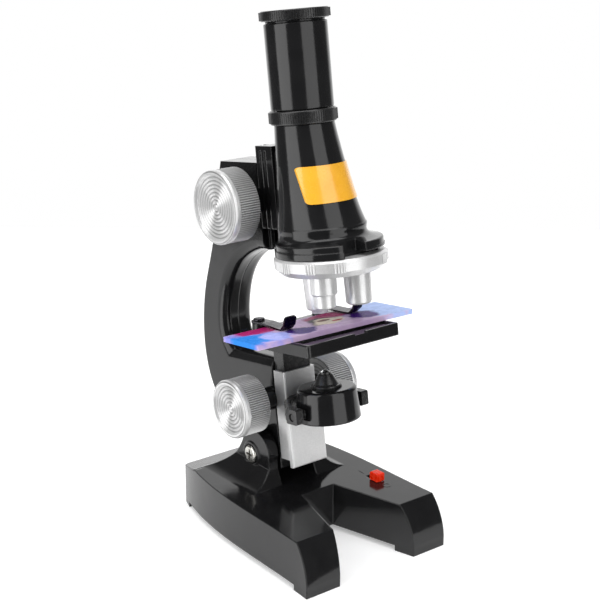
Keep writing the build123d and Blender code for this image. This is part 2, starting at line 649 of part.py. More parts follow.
def collar_ring():
    ring = cyl_z(COLLAR_R - 0.5, CONE_TOP + 0.02, CONE_TOP + COLLAR_H, 0, AXIS_Y)
    ring = rounded(ring, ring.edges().filter_by(GeomType.CIRCLE), 0.6)
    grip = Pos(0, AXIS_Y, CONE_TOP + 0.7) * grooved(COLLAR_R, 0.6, 84, COLLAR_H - 1.3)
    return ring + grip - cyl_z(SPIGOT_R + 0.08, CONE_TOP - 1, CONE_TOP + 9, 0, AXIS_Y)


def draw_tube():
    """Eyepiece barrel above the collar with its thinner spigot inside the body tube."""
    low = CONE_TOP + COLLAR_H + 0.3
    barrel = cyl_z(DRAW_R, low, CAP_TOP - CAP_H - 0.9, 0, AXIS_Y)
    barrel = rounded(barrel, barrel.edges().filter_by(GeomType.CIRCLE), 0.4)
    neck = cyl_z(DRAW_R - 0.8, CAP_TOP - CAP_H - 1.5, CAP_TOP - CAP_H - 0.02, 0, AXIS_Y)
    spigot = cyl_z(SPIGOT_R, 146.0, low + 1, 0, AXIS_Y)
    return barrel + neck + spigot - cyl_z(SPIGOT_R - 1.6, 140, CAP_TOP, 0, AXIS_Y)


def eyepiece_cap():
    z0 = CAP_TOP - CAP_H
    cap = cyl_z(CAP_R - 0.5, z0, CAP_TOP, 0, AXIS_Y)
    cap = rounded(cap, cap.edges().filter_by(GeomType.CIRCLE), 0.6)
    cap = cap + Pos(0, AXIS_Y, z0 + 0.4) * grooved(CAP_R, 0.6, 84, CAP_H - 0.8)
    dish = cone_z(5.0, 10.0, CAP_TOP - 2.6, CAP_TOP + 0.01, 0, AXIS_Y)
    return cap - dish - cyl_z(4.4, z0 - 1, CAP_TOP, 0, AXIS_Y) - cyl_z(6.1, z0 - 1, z0 + 1.4, 0, AXIS_Y)


def lens(radius, z_mid, thickness, y=AXIS_Y, x=0.0):
    """Plano-convex lens with its flat face down."""
    flat = z_mid - thickness / 2
    rim, crown = flat + 0.4 * thickness, flat + thickness
    sphere_r = (radius ** 2 + (crown - rim) ** 2) / (2 * (crown - rim))
    half = radius / 2
    half_z = crown - sphere_r + math.sqrt(sphere_r ** 2 - half ** 2)
    outline = closed_face(Polyline((0, crown), (0, flat), (radius, flat), (radius, rim)),
                          ThreePointArc((radius, rim), (half, half_z), (0, crown)))
    return Pos(x, y, 0) * revolve(Plane.XZ * outline, Axis.Z)


def eye_lens():
    return lens(5.9, CAP_TOP - CAP_H - 0.3, 3.0)


def field_lens():
    return lens(SPIGOT_R - 1.65, 150.0, 3.2)


def lens_retainer():
    ring = cyl_z(SPIGOT_R - 1.65, 208.0, CAP_TOP - CAP_H - 1.9, 0, AXIS_Y)
    return ring - cyl_z(4.2, 200, 220, 0, AXIS_Y)


# ---------------------------------------------------------------- turret
OBJECTIVE_ANGLES = (90.0, 210.0, 330.0)


def objective_xy(angle):
    a = math.radians(angle)
    return TURRET_OFFSET * math.cos(a), TURRET_Y + TURRET_OFFSET * math.sin(a)


def turret_disc():
    z0, z1 = TURRET_TOP - TURRET_H, TURRET_TOP
    disc = turned([(0, z0), (TURRET_R - 3.2, z0), (TURRET_R - 0.6, z0 + 2.4), (TURRET_R - 0.4, z1 - 0.9),
                   (TURRET_R - 1.3, z1), (0, z1)], TURRET_Y)
    for centre in [angle + step for angle in OBJECTIVE_ANGLES for step in (-30, 0, 30)]:
        for i in range(4):
            angle = centre + 2.9 * (i - 1.5)
            rib = Rot(0, 0, angle) * cyl_z(0.42, z0 + 2.2, z1 - 0.8, TURRET_R - 0.42, 0)
            disc = disc + Pos(0, TURRET_Y, 0) * rib
    disc = disc - cyl_z(2.0, z0 - 1, z1 + 1, 0, TURRET_Y) - cyl_z(4.0, z0 - 1, z0 + 2.2, 0, TURRET_Y)
    for angle in OBJECTIVE_ANGLES:
        x, y = objective_xy(angle)
        disc = disc - cyl_z(4.2, z0 - 1, z1 + 1, x, y)
        dimple = Pos(0, TURRET_Y, z1 + 1.0) * Rot(0, 0, angle) * Pos(16.0, 0, 0) * Sphere(1.6)
        disc = disc - dimple
    return disc


def turret_screw():
    z0 = TURRET_TOP - TURRET_H
    head = cyl_z(3.6, z0 + 0.4, z0 + 2.1, 0, TURRET_Y)
    cross = fused(box((-2.0, 2.0), (TURRET_Y - 0.3, TURRET_Y + 0.3), (z0, z0 + 1.3)),
                  box((-0.3, 0.3), (TURRET_Y - 2.0, TURRET_Y + 2.0), (z0, z0 + 1.3)))
    collar = cyl_z(1.94, z0 + 2.0, TURRET_TOP + 0.2, 0, TURRET_Y)
    return head - cross + collar + cyl_z(1.55, TURRET_TOP, TURRET_TOP + 5.5, 0, TURRET_Y)


def objective(angle, steps):
    """Objective barrel on the turret; steps are (radius, z) from the shoulder to the tip."""
    x, y = objective_xy(angle)
    seat = TURRET_TOP - TURRET_H
    outline = [(2.4, steps[-1][1]), (steps[-1][0], steps[-1][1])]
    outline += [point for point in reversed(steps[:-1])]
    outline += [(steps[0][0], seat), (4.1, seat), (4.1, TURRET_TOP - 1.2), (2.4, TURRET_TOP - 1.2)]
    return Pos(x, y, 0) * turned(outline)


OBJECTIVES = {
    "objective_high": (90.0, [(5.9, 112.0), (5.25, 97.2), (4.9, 96.6), (3.6, 96.6), (3.3, 95.0)]),
    "objective_mid": (210.0, [(5.2, 112.0), (5.2, 106.0), (4.8, 105.4), (4.3, 105.3), (4.2, 100.6), (3.7, 100.0)]),
    "objective_low": (330.0, [(5.5, 112.0), (5.2, 99.6), (4.5, 98.9)]),
}


def objective_lenses():
    lenses = []
    for angle, steps in OBJECTIVES.values():
        x, y = objective_xy(angle)
        lenses.append(lens(2.38, steps[-1][1] + 1.5, 1.6, y, x))
    return lenses


# ---------------------------------------------------------------- stage
def stage_slider():
    """Black post behind the silver sleeve: it carries the stage and slides on the arm."""
    back = NECK_FRONT - CLEAR
    post = box((-POST_HALF_W, POST_HALF_W), (back, POST_FRONT), (SLEEVE_BOTTOM + 0.6, STAGE_TOP - STAGE_T))
    post = post - rail_slot(NECK_FRONT, 20, 95)
    return post - box((-GEAR_HALF_W - CLEAR, GEAR_HALF_W + CLEAR), (back + 1, -16.4), (20, 95))


def stage_rack():
    return rack(STAGE_SHAFT_Z, 44.0, 72.0, -16.4)


def slide_sleeve():
    """Silver cover round three sides of the post, with the wider tongue below."""
    outer = box((-SLEEVE_HALF_W, SLEEVE_HALF_W), (-12.8, SLEEVE_FRONT), (SLEEVE_BOTTOM, SLEEVE_TOP))
    inner = box((-POST_HALF_W - 0.1, POST_HALF_W + 0.1), (-10, POST_FRONT - 0.1), (SLEEVE_BOTTOM - 1, SLEEVE_TOP + 1))
    tongue = box((-TONGUE_HALF_W, TONGUE_HALF_W), (SLEEVE_FRONT + 0.1, SLEEVE_FRONT - 2.2),
                 (TONGUE_BOTTOM, TONGUE_TOP))
    front = tongue.edges().group_by(Axis.Y)[0]
    tongue = rounded(tongue, front, 0.6)
    outer = rounded(outer, outer.edges().filter_by(Axis.Z).group_by(Axis.Y)[0], 0.8)
    return outer - inner + tongue


def stage_plate():
    top = STAGE_TOP
    plate = box((-STAGE_HALF_W, STAGE_HALF_W), (STAGE_FRONT, STAGE_REAR), (top - STAGE_T, top))
    plate = rounded(plate, plate.edges().filter_by(Axis.Z), 1.2)
    plate = rounded(plate, plate.edges().group_by(Axis.Z)[-1], 0.5)
    recess = box((-STAGE_HALF_W + 1.6, STAGE_HALF_W - 1.6), (STAGE_FRONT + 1.5, -48.5), (top - 0.7, top + 1))
    notch = box((0.2, 6.2), (STAGE_FRONT - 1, STAGE_FRONT + 3), (top - 0.7, top + 1))
    plate = plate - recess - notch
    skirt = box((-STAGE_HALF_W + 1.8, STAGE_HALF_W - 1.8), (STAGE_FRONT + 1.8, STAGE_REAR - 1.8),
                (top - STAGE_T - 1, top - 2.2))
    keep = box((-POST_HALF_W - 2, POST_HALF_W + 2), (POST_FRONT - 3, 0), (0, 100))
    keep = keep + cyl_z(9.0, 0, 100, 0, AXIS_Y)
    plate = plate - (skirt - keep)
    for x in (-CLIP_X, CLIP_X):
        boss = cone_z(3.4, 3.0, top - 0.5, CLIP_SEAT, x, CLIP_RIVET_Y)
        plate = plate + cyl_z(2.6, top - STAGE_T + 0.2, top - 2.0, x, CLIP_RIVET_Y) + boss
        plate = plate - cyl_z(1.3, 0, 100, x, CLIP_RIVET_Y)
    return plate - cyl_z(6.0, 0, 100, 0, AXIS_Y)


def clip_rivets():
    rivets = []
    for x in (-CLIP_X, CLIP_X):
        shank = cyl_z(1.25, STAGE_TOP - STAGE_T, CLIP_SEAT + 1.2, x, CLIP_RIVET_Y)
        head = cyl_z(2.4, CLIP_SEAT + 1.0, CLIP_SEAT + 1.8, x, CLIP_RIVET_Y)
        rivets.append(shank + rounded(head, head.edges().group_by(Axis.Z)[-1], 0.6))
    return rivets


def stage_clip(x, turn):
    """Spring strip: flat at the rivet, sloping down to the slide, then curled up steeply at its tip."""
    t = 0.7
    half = 2.9
    flat = CLIP_SEAT + 0.15
    contact = STAGE_TOP + SLIDE_T + 0.2
    start = CLIP_RIVET_Y + half
    under = [(start, flat), (CLIP_RIVET_Y - 6.0, flat), (-32.6, contact), (-34.8, contact), (-37.2, contact + 1.9),
             (-38.6, contact + 5.6)]
    over = [(-37.8, contact + 5.9), (-36.6, contact + 2.4), (-34.6, contact + t), (-32.7, contact + t),
            (CLIP_RIVET_Y - 6.1, flat + t), (start, flat + t)]
    strip = Pos(-half, 0, 0) * extrude(Plane.YZ * make_face(Polyline(*under, *over, close=True)), 2 * half)
    strip = rounded(strip, strip.edges().filter_by(Axis.X).group_by(Axis.Y)[3:-1], 0.5)
    ends = [e for e in strip.edges() if e.length < 1.0 and abs(e.center().X) > half - 0.1]
    tip = [e for e in ends if e.center().Y < -37.7 and e.center().Z > contact + 5]
    strip = rounded(strip, tip, 1.2)
    strip = rounded(strip, strip.edges().filter_by(Axis.Z).group_by(Axis.Y)[-1], 2.0)
    strip = strip - cyl_z(1.31, 0, 200, 0, CLIP_RIVET_Y)
    return Pos(x, CLIP_RIVET_Y, 0) * Rot(0, 0, turn) * Pos(0, -CLIP_RIVET_Y, 0) * strip


def specimen_slide():
    slide = box((-SLIDE_L / 2, SLIDE_L / 2), (-SLIDE_W / 2, SLIDE_W / 2), (STAGE_TOP + 0.05, STAGE_TOP + SLIDE_T))
    slide = rounded(slide, slide.edges().filter_by(Axis.Z), 0.5)
    return Pos(0, SLIDE_FRONT + SLIDE_W / 2, 0) * Rot(0, 0, SLIDE_TURN) * slide


# ---------------------------------------------------------------- illuminator
def lamp_yoke():
    """Half ring behind the lamp with the two pivot arms, fixed to the front of the sleeve."""
    z0, z1 = LAMP_Z - 2.9, LAMP_Z + 3.3
    ring = cyl_z(YOKE_OUT, z0, z1, 0, AXIS_Y) - cyl_z(YOKE_IN, z0 - 1, z1 + 1, 0, AXIS_Y)
    ring = ring - box((-30, 30), (AXIS_Y - 30, AXIS_Y - 1), (z0 - 1, z1 + 1))
    block = box((-6.5, 6.5), (SLEEVE_FRONT - 0.02, AXIS_Y + 16.2), (z0, z1))
    yoke = ring + block
    for x in (YOKE_IN, -YOKE_IN - 3.4):
        arm = box((x, x + 3.4), (AXIS_Y - 3.2, AXIS_Y + 3.6), (z0, z1))
        yoke = yoke + rounded(arm, arm.edges().filter_by(Axis.X), 0.8)
    yoke = yoke - cyl_z(YOKE_IN, z0 - 1, z1 + 1, 0, AXIS_Y)
    yoke = yoke - box((-30, 30), (SLEEVE_FRONT - 0.02, 0), (z0 - 1, z1 + 1))
    return yoke - cyl_x(1.6 + RUNNING, -30, 30, AXIS_Y, LAMP_Z)


def lamp_housing():
    """Slightly tapered cup with a round shoulder, a mirror seat below and the two pivot stubs."""
    cup = cone_z(LAMP_R, LAMP_TOP_R, LAMP_BOTTOM, LAMP_TOP, 0, AXIS_Y)
    cup = rounded(cup, cup.edges().filter_by(GeomType.CIRCLE).group_by(Axis.Z)[-1], 1.4)
    cup = rounded(cup, cup.edges().filter_by(GeomType.CIRCLE).group_by(Axis.Z)[0], 0.7)
    cup = cup - cyl_z(LAMP_TOP_R - 2.0, LAMP_BOTTOM + 3.2, LAMP_TOP - 1.6, 0, AXIS_Y)
    cup = cup - cyl_z(LAMP_R - 1.3, 0, LAMP_BOTTOM + 1.7, 0, AXIS_Y) - cyl_z(4.0, 60, 80, 0, AXIS_Y)
    stubs = cyl_x(1.6, LAMP_TOP_R - 1.8, YOKE_IN + 3.0, AXIS_Y, LAMP_Z)
    return cup + stubs + mirrored_x(stubs)


def lamp_nozzle():
    z0 = LAMP_TOP
    return turned([(4.2, z0 + 0.02), (6.3, z0 + 0.02), (6.4, z0 + 0.5), (6.1, z0 + 1.0), (5.3, z0 + 1.1),
                   (4.9, z0 + 1.6), (2.9, NOZZLE_TOP - 0.9), (2.4, NOZZLE_TOP - 0.7), (2.3, NOZZLE_TOP),
                   (1.8, NOZZLE_TOP), (1.8, NOZZLE_TOP - 1.4), (3.2, z0 + 1.6), (3.4, z0 + 0.02)], AXIS_Y)


def lamp_lens():
    stem = cyl_z(1.75, NOZZLE_TOP - 1.2, NOZZLE_TOP + 0.05, 0, AXIS_Y)
    ball = Pos(0, AXIS_Y, NOZZLE_TOP - 1.35) * Sphere(2.2)
    return stem + (ball & cyl_z(1.73, NOZZLE_TOP, NOZZLE_TOP + 3, 0, AXIS_Y))


def lamp_led():
    z0 = LAMP_TOP
    bulb = cyl_z(2.5, z0 - 5.0, z0 + 0.2, 0, AXIS_Y)
    tip = Pos(0, AXIS_Y, z0 + 0.2) * Sphere(2.5)
    flange = cyl_z(2.9, z0 - 5.6, z0 - 4.6, 0, AXIS_Y)
    legs = [cyl_z(0.3, z0 - 8.0, z0 - 5.5, x, AXIS_Y) for x in (-1.27, 1.27)]
    return fused(bulb + tip + flange, *legs)


def lamp_mirror():
    return cyl_z(LAMP_R - 1.4, LAMP_BOTTOM + 0.5, LAMP_BOTTOM + 1.66, 0, AXIS_Y)


# ---------------------------------------------------------------- export
def main():
    os.makedirs("parts", exist_ok=True)
    save("base_shell", base_shell(), tilted=False)
    save("base_cover", base_cover(), tilted=False)
    save("battery_door", battery_door(), tilted=False)
    save("base_screws", *base_screws(), tilted=False)
    save("battery_cells", *battery_cells(), tilted=False)
    save("battery_contacts", *battery_contacts(), tilted=False)
    save("switch_body", switch_body(), tilted=False)
    save("switch_slider", switch_slider(), tilted=False)
    save("pivot_bolt", pivot_bolt(), tilted=False)
    save("pivot_nut", pivot_nut(), tilted=False)
    save("pivot_washers", *pivot_washers(), tilted=False)

    save("arm_left", arm_left())
    save("arm_right", arm_right())
    save("arm_screws", *arm_screws())

    save("focus_shaft", shaft(FOCUS_Z, FOCUS_KNOB_OUT))
    save("focus_pinion", pinion(FOCUS_Z))
    focus_knob = knob(FOCUS_Z, FOCUS_KNOB_R, FOCUS_KNOB_IN, FOCUS_KNOB_OUT, 96)
    save("focus_knob_right", focus_knob)
    save("focus_knob_left", mirrored_x(focus_knob))
    save("stage_shaft", shaft(STAGE_SHAFT_Z, STAGE_KNOB_OUT))
    save("stage_pinion", pinion(STAGE_SHAFT_Z))
    stage_knob = knob(STAGE_SHAFT_Z, STAGE_KNOB_R, STAGE_KNOB_IN, STAGE_KNOB_OUT, 80)
    save("stage_knob_right", stage_knob)
    save("stage_knob_left", mirrored_x(stage_knob))

    save("tube_slider", tube_slider())
    save("tube_rack", tube_rack())
    save("body_tube", body_tube())
    save("label_plate", label_plate())
    save("nose_plate", nose_plate())
    save("collar_ring", collar_ring())
    save("draw_tube", draw_tube())
    save("eyepiece_cap", eyepiece_cap())
    save("eye_lens", eye_lens())
    save("field_lens", field_lens())
    save("lens_retainer", lens_retainer())

    save("turret_disc", turret_disc())
    save("turret_screw", turret_screw())
    for name, (angle, steps) in OBJECTIVES.items():
        save(name, objective(angle, steps))
    save("objective_lenses", *objective_lenses())

    save("stage_slider", stage_slider())
    save("stage_rack", stage_rack())
    save("slide_sleeve", slide_sleeve())
    save("stage_plate", stage_plate())
    save("clip_rivets", *clip_rivets())
    save("clip_left", stage_clip(-CLIP_X, 0.0))
    save("clip_right", stage_clip(CLIP_X, RIGHT_CLIP_TURN))
    save("specimen_slide", specimen_slide())

    save("lamp_yoke", lamp_yoke())
    save("lamp_housing", lamp_housing())
    save("lamp_nozzle", lamp_nozzle())
    save("lamp_lens", lamp_lens())
    save("lamp_led", lamp_led())
    save("lamp_mirror", lamp_mirror())


main()
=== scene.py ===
"""The looks of the toy microscope: finishes, moulded marks, studio and camera.

Everything is in metres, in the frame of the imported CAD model: X to the microscope's right, Y to the
back, Z up, with the object standing on Z = 0. The arm and all that it carries rest tilted about X.
"""

import json
import math

import bmesh
import bpy
from mathutils import Matrix, Vector


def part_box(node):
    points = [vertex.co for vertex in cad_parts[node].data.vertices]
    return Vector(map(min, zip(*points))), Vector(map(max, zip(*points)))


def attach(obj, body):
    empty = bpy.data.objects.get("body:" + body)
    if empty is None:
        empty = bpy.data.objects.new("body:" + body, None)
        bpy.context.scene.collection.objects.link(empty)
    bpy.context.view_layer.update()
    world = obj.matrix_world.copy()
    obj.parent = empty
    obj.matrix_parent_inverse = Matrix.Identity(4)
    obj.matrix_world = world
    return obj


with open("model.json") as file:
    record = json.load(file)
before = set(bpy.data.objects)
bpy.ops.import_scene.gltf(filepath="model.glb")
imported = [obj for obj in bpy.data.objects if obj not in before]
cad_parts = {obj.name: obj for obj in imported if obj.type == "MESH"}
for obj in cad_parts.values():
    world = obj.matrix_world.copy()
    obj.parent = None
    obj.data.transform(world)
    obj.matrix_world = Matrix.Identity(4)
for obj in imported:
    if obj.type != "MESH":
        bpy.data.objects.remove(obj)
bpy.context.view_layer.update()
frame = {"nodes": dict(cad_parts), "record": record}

NODES = frame["nodes"]
REST_TILT = math.radians(8.5)
SLIDE_TURN = math.radians(3.0)
MM = 0.001
EDGE_ROUNDING = 0.0008

# The painted shade in the grooves around a knob's rim and in the valleys between the rings on its face:
# distances inwards from the rim, the rings' spacing, how softly each ends, and how dark the painted shade
# makes the bottoms.
GROOVE_CREST = 0.25 * MM
GROOVE_DEPTH = 0.7 * MM
GROOVE_FADE = 0.3 * MM
GROOVE_SHADE = 0.3
RING_MARGIN = 2.8 * MM
RING_PITCH = 1.55 * MM
RING_FADE = (0.2 * MM, 0.4 * MM)
RING_VALLEY = -0.2
RING_SHADE = 0.55

# The camera stands in front of the microscope, to its left, and a little above it.
CAMERA_PLACE = Vector((-0.33615, -0.43048, 0.27907))
CAMERA_AZIMUTH = math.radians(-38.22)
CAMERA_ELEVATION = math.radians(18.09)
CAMERA_ROLL = math.radians(0.30)
CAMERA_LENS = 84.14
CAMERA_SENSOR = 36.0


# ---------------------------------------------------------------------------------------------
# Node material helpers
# ---------------------------------------------------------------------------------------------


def principled(name, **values):
    """A new material and its shader. Uniform values go straight on the shader's sockets."""
    material = bpy.data.materials.new(name)
    material.use_nodes = True
    shader = material.node_tree.nodes["Principled BSDF"]
    for socket, value in values.items():
        shader.inputs[socket.replace("_", " ")].default_value = value
    return material, shader


def node(material, kind, **settings):
    """A new node in the material. Settings are the node's own attributes."""
    made = material.node_tree.nodes.new(kind)
    for attribute, value in settings.items():
        setattr(made, attribute, value)
    return made


def join(material, source, target):
    material.node_tree.links.new(source, target)


def place(material, size, stretch=(1.0, 1.0, 1.0), turn=(0.0, 0.0, 0.0), shift=(0.0, 0.0, 0.0)):
    """The object's own coordinates, shifted, turned, and divided by a feature size in metres."""
    coordinates = node(material, "ShaderNodeTexCoord")
    moved = node(material, "ShaderNodeMapping", vector_type="POINT")
    moved.inputs["Location"].default_value = shift
    join(material, coordinates.outputs["Object"], moved.inputs["Vector"])
    turned = node(material, "ShaderNodeMapping", vector_type="POINT")
    turned.inputs["Rotation"].default_value = turn
    turned.inputs["Scale"].default_value = [factor / size for factor in stretch]
    join(material, moved.outputs["Vector"], turned.inputs["Vector"])
    return turned.outputs["Vector"]


def noise(material, size, detail=3.0, roughness=0.5, stretch=(1.0, 1.0, 1.0)):
    """Noise, 0 to 1, whose features are about `size` metres across."""
    texture = node(material, "ShaderNodeTexNoise")
    texture.inputs["Scale"].default_value = 1.0
    texture.inputs["Detail"].default_value = detail
    texture.inputs["Roughness"].default_value = roughness
    join(material, place(material, size, stretch), texture.inputs["Vector"])
    return texture.outputs["Fac"]


def cell_colours(material, size):
    """A random colour for each Voronoi cell, about `size` metres across."""
    texture = node(material, "ShaderNodeTexVoronoi", feature="F1")
    texture.inputs["Scale"].default_value = 1.0
    join(material, place(material, size), texture.inputs["Vector"])
    return texture.outputs["Color"]


def spread(material, value, low, high, to_low, to_high):
    """The value's range low..high mapped to to_low..to_high, and held there beyond it."""
    mapped = node(material, "ShaderNodeMapRange", clamp=True)
    numbers = {"From Min": low, "From Max": high, "To Min": to_low, "To Max": to_high}
    for socket, number in numbers.items():
        mapped.inputs[socket].default_value = number
    join(material, value, mapped.inputs["Value"])
    return mapped.outputs["Result"]


def calculate(material, operation, first, second=0.0):
    """One arithmetic step on two outputs, or an output and a number."""
    step = node(material, "ShaderNodeMath", operation=operation)
    for socket, operand in zip(step.inputs, (first, second)):
        if isinstance(operand, (int, float)):
            socket.default_value = operand
        else:
            join(material, operand, socket)
    return step.outputs["Value"]


def ramp(material, value, stops):
    """A colour for each position along a value, from (position, (red, green, blue)) stops."""
    made = node(material, "ShaderNodeValToRGB")
    points = made.color_ramp.elements
    while len(points) < len(stops):
        points.new(1.0)
    for point, (position, colour) in zip(points, stops):
        point.position = position
        point.color = (*colour, 1.0)
    join(material, value, made.inputs["Fac"])
    return made.outputs["Color"]


def mix(material, factor, first, second):
    """Blends two colours by a factor. Each is an output or a colour."""
    made = node(material, "ShaderNodeMix", data_type="RGBA")
    join(material, factor, made.inputs["Factor"])
    for socket, colour in zip((made.inputs[6], made.inputs[7]), (first, second)):
        if isinstance(colour, tuple):
            socket.default_value = (*colour, 1.0)
        else:
            join(material, colour, socket)
    return made.outputs[2]


def round_edges(material, radius):
    """A normal that turns smoothly around each edge, for the light line that a moulded edge catches."""
    rounded = node(material, "ShaderNodeBevel", samples=6)
    rounded.inputs["Radius"].default_value = radius
    return rounded.outputs["Normal"]


def raise_surface(material, shader, heights, normal=None):
    """Feeds the shader a bump built from (height output, depth in metres) pairs, on top of a normal."""
    for height, depth in heights:
        bump = node(material, "ShaderNodeBump")
        bump.inputs["Strength"].default_value = 1.0
        bump.inputs["Distance"].default_value = depth
        join(material, height, bump.inputs["Height"])
        if normal is not None:
            join(material, normal, bump.inputs["Normal"])
        normal = bump.outputs["Normal"]
    join(material, normal, shader.inputs["Normal"])


def patch(material, vector, centre, radii, wobble):
    """1 inside an ellipse of this centre and radii (in the vector's units). The wobble moves its edge."""
    fitted = node(material, "ShaderNodeMapping", vector_type="TEXTURE")
    fitted.inputs["Location"].default_value = (*centre, 0.0)
    fitted.inputs["Scale"].default_value = (*radii, PATCH_THICKNESS)
    join(material, vector, fitted.inputs["Vector"])
    reach = node(material, "ShaderNodeVectorMath", operation="LENGTH")
    join(material, fitted.outputs["Vector"], reach.inputs[0])
    distance = calculate(material, "ADD", reach.outputs["Value"], wobble)
    return spread(material, distance, 1.0 - PATCH_SOFTNESS, 1.0 + PATCH_SOFTNESS, 1.0, 0.0)


# ---------------------------------------------------------------------------------------------
# Finishes, one for each material slot of the record
# ---------------------------------------------------------------------------------------------


def black_gloss():
    """Polished black ABS: deep, with faint sink marks, orange peel and handling haze."""
    material, shader = principled("black_gloss", IOR=1.5, Specular_IOR_Level=0.4)
    cloud = noise(material, 0.018, detail=4.0)
    colour = ramp(material, cloud, [(0.3, (0.006, 0.006, 0.0065)), (0.7, (0.010, 0.010, 0.0105))])
    join(material, colour, shader.inputs["Base Color"])
    haze = noise(material, 0.006, detail=6.0, roughness=0.65)
    join(material, spread(material, haze, 0.35, 0.7, 0.09, 0.17), shader.inputs["Roughness"])
    peel = noise(material, 0.0011, detail=1.0)
    sink = noise(material, 0.009, detail=1.0)
    raise_surface(material, shader, [(sink, 0.00005), (peel, 0.000004)], round_edges(material, EDGE_ROUNDING))
    return material


def black_satin():
    """Black plastic with a spark-eroded grain."""
    material, shader = principled("black_satin", IOR=1.48)
    cloud = noise(material, 0.007, detail=4.0)
    colour = ramp(material, cloud, [(0.3, (0.014, 0.014, 0.0145)), (0.7, (0.022, 0.022, 0.0225))])
    join(material, colour, shader.inputs["Base Color"])
    haze = noise(material, 0.003, detail=4.0)
    join(material, spread(material, haze, 0.3, 0.7, 0.2, 0.32), shader.inputs["Roughness"])
    raise_surface(material, shader, [(noise(material, 0.00028, detail=2.0), 0.000008)])
    return material


def painted_knob_shade(material, knob):
    """Painted shade: dark in the grooves around a knob's rim and in the valleys of its face's rings, and 1
    elsewhere.
    """
    low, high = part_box(knob)
    radius = (high.y - low.y) / 2
    centre = (low + high) / 2
    reach = node(material, "ShaderNodeVectorMath", operation="LENGTH")
    flat = place(material, 1.0, stretch=(0.0, 1.0, 1.0), shift=tuple(-centre))
    join(material, flat, reach.inputs[0])
    distance = reach.outputs["Value"]
    # Painted shade in the bottoms of the grooves around the rim.
    groove = spread(material, distance, radius - GROOVE_DEPTH, radius - GROOVE_CREST, GROOVE_SHADE, 1.0)
    bottom = radius - GROOVE_DEPTH
    within = spread(material, distance, bottom - GROOVE_FADE, bottom, 1.0, 0.0)
    groove = calculate(material, "MAXIMUM", groove, within)
    rings_end = radius - RING_MARGIN
    pitch = rings_end / round(rings_end / RING_PITCH)
    # Painted shade in the valleys between the face's rings, darkest where the cosine peaks.
    wave = calculate(material, "COSINE", calculate(material, "MULTIPLY", distance, 2 * math.pi / pitch))
    ring = spread(material, wave, RING_VALLEY, 1.0, 1.0, RING_SHADE)
    beyond = spread(material, distance, rings_end + RING_FADE[0], rings_end + RING_FADE[1], 0.0, 1.0)
    ring = calculate(material, "MAXIMUM", ring, beyond)
    return calculate(material, "MULTIPLY", groove, ring)


def silver_plastic(name="silver_plastic", knob=None):
    """Plastic sprayed with silver lacquer: fine flakes in a smooth coat. A knob's grooves and ring valleys
    get painted shade.
    """
    material, shader = principled(name, Metallic=0.42, IOR=1.5, Coat_Weight=0.25, Coat_Roughness=0.22)
    flakes = cell_colours(material, 0.00022)
    grey = spread(material, flakes, 0.0, 1.0, 0.57, 0.71)
    cloud = spread(material, noise(material, 0.011, detail=3.0), 0.3, 0.7, 0.94, 1.05)
    shade = calculate(material, "MULTIPLY", grey, cloud)
    if knob is not None:
        # The knob's colour is darkened by painted shade in its grooves and ring valleys.
        shade = calculate(material, "MULTIPLY", shade, painted_knob_shade(material, knob))
    colour = ramp(material, shade, [(0.0, (0.0, 0.0, 0.0)), (1.0, (1.0, 1.0, 1.0))])
    join(material, colour, shader.inputs["Base Color"])
    haze = noise(material, 0.004, detail=5.0)
    join(material, spread(material, haze, 0.3, 0.7, 0.28, 0.38), shader.inputs["Roughness"])
    raise_surface(material, shader, [(noise(material, 0.0007, detail=2.0), 0.000006)])
    return material


def brushed_metal(name, colour_low, colour_high, rough_low, rough_high):
    """Bare or plated metal with fine drawn streaks and a few darker spots."""
    material, shader = principled(name, Metallic=1.0)
    streak = noise(material, 0.0022, detail=6.0, roughness=0.7, stretch=(0.15, 1.0, 1.0))
    colour = ramp(material, streak, [(0.3, colour_low), (0.7, colour_high)])
    join(material, colour, shader.inputs["Base Color"])
    stain = noise(material, 0.0016, detail=4.0)
    join(material, spread(material, stain, 0.3, 0.72, rough_low, rough_high), shader.inputs["Roughness"])
    raise_surface(material, shader, [(streak, 0.000006)])
    return material


def moulded(name, colour_low, colour_high, rough_low=0.3, rough_high=0.45):
    """A small coloured moulding with slight flow marks."""
    material, shader = principled(name, IOR=1.5)
    flow = noise(material, 0.004, detail=4.0, stretch=(1.0, 0.4, 1.0))
    colour = ramp(material, flow, [(0.3, colour_low), (0.7, colour_high)])
    join(material, colour, shader.inputs["Base Color"])
    haze = noise(material, 0.0015, detail=4.0)
    join(material, spread(material, haze, 0.3, 0.7, rough_low, rough_high), shader.inputs["Roughness"])
    raise_surface(material, shader, [(noise(material, 0.0005, detail=2.0), 0.00001)])
    return material


def yellow_label():
    """A plain orange-yellow film label under a glossy coat, with a printed grain."""
    material, shader = principled("yellow_label", IOR=1.5, Coat_Weight=0.6, Coat_Roughness=0.1)
    grain = noise(material, 0.0004, detail=3.0)
    fade = noise(material, 0.009, detail=2.0)
    ink = ramp(material, fade, [(0.35, (0.78, 0.375, 0.021)), (0.65, (0.83, 0.41, 0.026))])
    speck = spread(material, grain, 0.3, 0.7, 0.0, 0.1)
    join(material, mix(material, speck, ink, (0.78, 0.36, 0.02)), shader.inputs["Base Color"])
    join(material, spread(material, noise(material, 0.003), 0.3, 0.7, 0.22, 0.34), shader.inputs["Roughness"])
    raise_surface(material, shader, [(noise(material, 0.0012, detail=1.0), 0.00001)])
    return material


